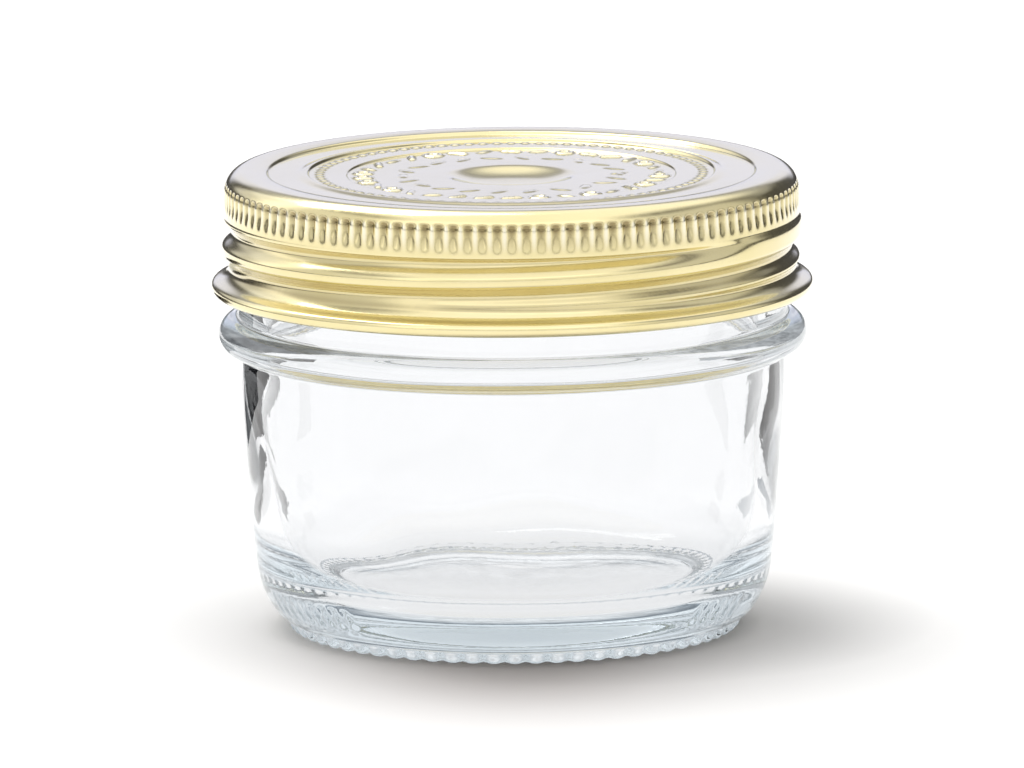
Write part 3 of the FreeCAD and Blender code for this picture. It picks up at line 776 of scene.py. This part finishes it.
def lacquer_material(name, light, deep, rough, coat):
    """Gold lacquer over bright tinplate.

    The tint varies unevenly and the sheet has a fine rolled grain; painted shade darkens the
    hollows and a painted highlight pales the crests.
    """
    material, sh = new_material(name)
    coords = sh.outs("TexCoord")["Object"]
    slow = sh.noise(coords, scale=38, detail=3, rough=0.55)
    stretched = sh.outs("Mapping", {"Vector": coords, "Scale": (260, 2600, 260)})["Vector"]
    grain = sh.noise(stretched, scale=1.0, detail=3, rough=0.6)
    fine = sh.noise(coords, scale=2400, detail=2, rough=0.5)
    brighter = tuple(min(1, v * 1.04) for v in light)
    tint = sh.ramp(slow, [(0.25, deep), (0.55, light), (0.85, brighter)])
    painted_shading = sh.outs("Attribute", attribute_name="painted_shading")["Fac"]
    # painted shade in flutes, groove and recess; painted highlight on crests and ornament
    with_painted_shade = sh.mix(sh.remap(painted_shading, (0.0, -1.0), (0.0, 0.85)), tint, PAINTED_SHADE_COLOUR)
    with_painted_highlight = sh.mix(sh.remap(painted_shading, (0.0, 1.0), (0.0, 0.75)), with_painted_shade, PAINTED_HIGHLIGHT_COLOUR)
    fine_bump = sh.bump(fine, strength=0.10, distance=0.00006)
    bsdf = sh.outs("BsdfPrincipled", {
        "Base Color": with_painted_highlight,
        "Metallic": 1.0,
        "Coat Weight": coat,
        "Coat Roughness": 0.07,
        "Coat IOR": 1.5,
        "Roughness": sh.remap(grain, (0.25, 0.75), (rough - 0.05, rough + 0.07)),
        "Normal": sh.bump(slow, strength=0.10, distance=0.00025, Normal=fine_bump),
    })["BSDF"]
    sh.node("OutputMaterial", {"Surface": bsdf})
    return material


def rubber_material():
    material, sh = new_material("seal_rubber")
    coords = sh.outs("TexCoord")["Object"]
    slow = sh.noise(coords, scale=90, detail=4, rough=0.6)
    fine = sh.noise(coords, scale=1900, detail=3, rough=0.6)
    bsdf = sh.outs("BsdfPrincipled", {
        "Base Color": sh.ramp(slow, [(0.2, (0.50, 0.47, 0.42)), (0.8, (0.62, 0.59, 0.54))]),
        "Roughness": sh.remap(fine, (0.3, 0.7), (0.55, 0.78)),
        "Normal": sh.bump(fine, strength=0.25, distance=0.00008),
    })["BSDF"]
    sh.node("OutputMaterial", {"Surface": bsdf})
    return material


# ------------------------------------------------------------------ pieces
def place(ob, material, body, cad, slot):
    ob.data.materials.append(material)
    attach(ob, body)
    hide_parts(cad)


place(jar(), glass_material(), "jar", "glass_jar", "clear_glass")
place(lid(),
      lacquer_material("gold_lacquer", light=(0.87, 0.765, 0.43), deep=(0.81, 0.70, 0.345),
                       rough=0.16, coat=0.85),
      "lid", "screw_lid", "gold_lacquer")
place(disc(),
      lacquer_material("disc_lacquer", light=(0.84, 0.76, 0.48), deep=(0.76, 0.67, 0.40),
                       rough=0.26, coat=0.4),
      "seal", "sealing_disc", "disc_lacquer")
place(seal(), rubber_material(), "seal", "sealing_ring", "seal_rubber")

# ------------------------------------------------------------------ studio floor, metres
scene = bpy.context.scene
scene.view_settings.view_transform = "Standard"
scene.view_settings.look = "None"
scene.view_settings.exposure = 0.0
scene.view_settings.gamma = 1.0

FLOOR_HALF = 6.0
OPEN_FLOOR = (0.86, 0.855, 0.85)
SHADE_REACH = 0.090
# floor colour with painted shadow, from the middle of the shadow (0) to its reach (1)
FLOOR_PAINTED_SHADOW = [(0.0, (0.46, 0.434, 0.422)), (0.15, (0.50, 0.474, 0.462)),
               (0.27, (0.585, 0.56, 0.55)), (0.43, (0.71, 0.69, 0.682)),
               (0.65, (0.81, 0.80, 0.793)), (1.0, OPEN_FLOOR)]
PAINTED_CAUSTIC_REACH = 0.20
# painted glow on the floor seen through the glass, from the axis (0) to its reach (1)
PAINTED_CAUSTIC_GLOW = [(0.0, grey(0.84)), (0.18, grey(0.84)), (0.27, grey(0.97)),
                  (0.42, grey(1.0)), (1.0, grey(1.0))]


def flat_object(name, corners):
    mesh = bpy.data.meshes.new(name)
    mesh.from_pydata(corners, [], [tuple(range(len(corners)))])
    ob = bpy.data.objects.new(name, mesh)
    scene.collection.objects.link(ob)
    return ob


def floor_painted_shadow(sh):
    """Painted shadow, deepest just in front of the jar, as with a lamp behind it."""
    position = sh.outs("NewGeometry")["Position"]
    # an oval painted shadow, narrower from side to side, its middle 32 mm in front of the axis
    oval = sh.vector_math("MULTIPLY_ADD", position, (1.6, 1.0, 0.0), (0.0, 0.032, 0.0))
    away = sh.vector_math("LENGTH", oval["Vector"])["Value"]
    shade = sh.ramp(sh.remap(away, (0.0, SHADE_REACH)), FLOOR_PAINTED_SHADOW, "B_SPLINE")
    # a closer round painted shadow, a little to the right
    away = sh.vector_math("DISTANCE", position, (0.012, 0.0, 0.0))["Value"]
    close = sh.remap(away, (0.030, 0.052), (0.76, 1.0))
    return sh.mix(1.0, shade, close, "MULTIPLY")


def floor_material():
    material, sh = new_material("studio_floor")
    diffuse = sh.node("BsdfDiffuse", {"Color": OPEN_FLOOR})
    # the floor colour carries a painted shadow around the jar
    sh.tree.links.new(floor_painted_shadow(sh), diffuse.inputs["Color"])
    path = sh.outs("LightPath")
    position = sh.outs("NewGeometry")["Position"]
    # a painted glow stands in for light gathered by the glass onto the floor below; it is seen
    # only through the glass
    away = sh.vector_math("LENGTH", position)["Value"]
    near = sh.remap(away, (0.6, 1.4), (1.0, 0.0))
    through_glass = sh.times(near, path["Is Transmission Ray"])
    painted_caustic_glow = sh.ramp(sh.remap(away, (0.0, PAINTED_CAUSTIC_REACH)), PAINTED_CAUSTIC_GLOW)
    lit = sh.mix_shader(through_glass, diffuse.outputs["BSDF"],
                        sh.emission(painted_caustic_glow, Strength=1.09))
    # the metal mirrors the floor only as far as the edge of the table
    beyond = sh.remap(sh.outs("SeparateXYZ", {0: position})["Y"], (0.70, 0.78))
    first = sh.math("LESS_THAN", path["Ray Depth"], 1.5)
    mirrored = sh.times(first, path["Is Glossy Ray"], beyond)
    surface = sh.mix_shader(mirrored, lit, sh.emission((0.05, 0.05, 0.055)))
    sh.node("OutputMaterial", {"Surface": surface})
    return material


def floor_plane():
    h = FLOOR_HALF
    ob = flat_object("studio_floor", [(-h, -h, 0), (h, -h, 0), (h, h, 0), (-h, h, 0)])
    ob.data.materials.append(floor_material())


# ------------------------------------------------------------------ lamps and cards, metres
def area(name, location, aim, size, power):
    """Square lamp turned towards aim."""
    light = bpy.data.lights.new(name, "AREA")
    light.energy = power
    light.shape = "RECTANGLE"
    light.size = size
    light.size_y = size
    ob = bpy.data.objects.new(name, light)
    ob.location = location
    direction = mathutils.Vector(aim) - mathutils.Vector(location)
    ob.rotation_euler = direction.to_track_quat("-Z", "Y").to_euler()
    scene.collection.objects.link(ob)
    return ob


BLACK_CARD = (0.012, 0.012, 0.013)
GREY_CARD = (0.30, 0.32, 0.34)
CARD_Y = 0.10
LOW_CARD_Z = 0.0005
# outline of the low card on the left, as (x, y) in mm
LOW_CARD = [(-54, 48), (-54, 78), (-62, 98), (-104, 112), (-112, 86), (-100, 74), (-72, 76),
            (-66, 60)]
# the same mirrored to the right, run the other way round from the same corner
LOW_CARD_RIGHT = [(-x, y) for x, y in LOW_CARD[:1] + LOW_CARD[:0:-1]]


def flag(name, corners, mirrored_too=False, shade=BLACK_CARD):
    """A studio card, unseen by the camera, that gives the glass its dark edge lines."""
    ob = flat_object(name, corners)
    material, sh = new_material(name)
    bsdf = sh.outs("BsdfDiffuse", {"Color": shade})["BSDF"]
    sh.node("OutputMaterial", {"Surface": bsdf})
    ob.data.materials.append(material)
    ob.visible_camera = False
    ob.visible_diffuse = False
    ob.visible_shadow = False
    ob.visible_glossy = mirrored_too


def upright_flag(name, x0, x1, z0, z1, mirrored_too=False):
    flag(name, [(x0, CARD_Y, z0), (x1, CARD_Y, z0), (x1, CARD_Y, z1), (x0, CARD_Y, z1)],
         mirrored_too)


def low_flag(name, outline, shade=BLACK_CARD):
    flag(name, [(x / 1000, y / 1000, LOW_CARD_Z) for x, y in outline], shade=shade)


floor_plane()
area("key", location=(-0.50, 0.60, 1.35), aim=(0, 0, 0.03), size=0.9, power=6.5)
top_lamp = area("top", location=(-0.10, 0.05, 1.7), aim=(0, 0, 0), size=1.3, power=8)
top_lamp.visible_glossy = False
upright_flag("flag_left_high", x0=-0.068, x1=-0.135, z0=0.007, z1=0.031, mirrored_too=True)
low_flag("flag_left_low", LOW_CARD)
upright_flag("flag_right_high", x0=0.064, x1=0.118, z0=0.009, z1=0.026)
low_flag("flag_right_low", LOW_CARD_RIGHT, GREY_CARD)


# ------------------------------------------------------------------ world
def build_world():
    """A separate surrounding for mirrored, transmitted, diffuse and camera rays."""
    world = bpy.data.worlds.new("studio")
    scene.world = world
    sh = Shader(world)
    direction = sh.outs("SeparateXYZ", {"Vector": sh.outs("TexCoord")["Generated"]})
    x, y, z = direction["X"], direction["Y"], direction["Z"]
    side = sh.math("ABSOLUTE", x)
    one = sh.math("ADD", 1.0, 0.0)
    minus_x = sh.math("MULTIPLY", x, -1.0)

    def glow(value, colour):
        return sh.mix(value, grey(0), colour)

    def patch(colour, *fades):
        """Light of one colour; each fade is an axis, where it is 0 and where it is 1."""
        steps = [sh.remap(axis, (dark, full), interpolation_type="SMOOTHSTEP")
                 for axis, dark, full in fades]
        return glow(sh.times(*steps), colour)

    def plus(*colours):
        out = colours[0]
        for colour in colours[1:]:
            out = sh.mix(1.0, out, colour, "ADD")
        return out

    # what the metal mirrors
    mirrored = plus(
        glow(one, (0.08, 0.08, 0.085)),
        # strip light overhead, from front to back
        patch((1.15, 1.15, 1.16), (z, 0.45, 0.75), (side, 0.70, 0.42)),
        # pale wall behind
        patch((0.76, 0.78, 0.96), (y, 0.5, 0.9), (z, 0.45, 0.28), (z, 0.035, 0.080),
              (side, 0.34, 0.18)),
        # broad light in front
        patch(grey(0.95), (y, -0.15, -0.45), (z, 0.03, 0.12), (side, 0.85, 0.50),
              (z, 0.85, 0.5)),
        # big soft box on the left
        patch(grey(0.80), (minus_x, 0.45, 0.70), (y, 0.74, 0.45), (z, 0.04, 0.14),
              (z, 0.85, 0.65)),
        # weaker one on the right
        patch(grey(0.62), (x, 0.50, 0.75), (y, 0.62, 0.30), (z, 0.04, 0.14),
              (z, 0.85, 0.60)),
        # low band in front
        patch((0.58, 0.58, 0.57), (y, -0.15, -0.45), (z, -0.04, 0.0), (z, 0.13, 0.03)),
        # left, towards the back
        patch(grey(0.62), (minus_x, 0.36, 0.48), (y, 0.20, 0.45), (z, 0.10, 0.22),
              (z, 0.85, 0.65)),
        # high band behind
        patch((0.30, 0.31, 0.34), (y, 0.45, 0.75), (z, 0.36, 0.44), (z, 0.75, 0.60)))
    # what shines through the glass: pale all round, brighter above
    through = plus(glow(one, (0.60, 0.62, 0.64)), patch(grey(0.35), (z, -0.05, 0.45)))
    # what lights the floor: soft light from above
    soft = plus(glow(one, grey(0.16)), patch(grey(1.45), (z, 0.45, 0.92)))
    # what the camera sees past the floor
    plain = glow(one, grey(1.0))

    path = sh.outs("LightPath")
    deep = sh.math("GREATER_THAN", path["Ray Depth"], 2.5)
    in_glass = sh.math("MAXIMUM", path["Is Transmission Ray"], deep)
    total = sh.mix(in_glass, mirrored, through)
    total = sh.mix(path["Is Diffuse Ray"], total, soft)
    total = sh.mix(path["Is Camera Ray"], total, plain)
    background = sh.outs("Background", {"Color": total, "Strength": 1.0})["Background"]
    sh.node("OutputWorld", {"Surface": background})


build_world()

# ------------------------------------------------------------------ camera
ELEVATION, ROLL = 9.7, -0.45           # degrees
DISTANCE = 2.5                         # metres from the aim point
AIM_X, AIM_Z = -0.00015, 0.03656       # metres
SENSOR, LENS = 36.0, 585.35156         # mm


def build_camera():
    data = bpy.data.cameras.new("camera")
    data.sensor_width = SENSOR
    data.lens = LENS
    data.clip_end = 50
    camera = bpy.data.objects.new("camera", data)
    elevation = math.radians(ELEVATION)
    camera.location = (AIM_X, -DISTANCE * math.cos(elevation),
                       AIM_Z + DISTANCE * math.sin(elevation))
    tilt = mathutils.Matrix.Rotation(math.pi / 2 - elevation, 3, "X")
    roll = mathutils.Matrix.Rotation(math.radians(ROLL), 3, "Z")
    camera.rotation_euler = (tilt @ roll).to_euler()
    scene.collection.objects.link(camera)
    scene.camera = camera


build_camera()

bpy.context.view_layer.update()
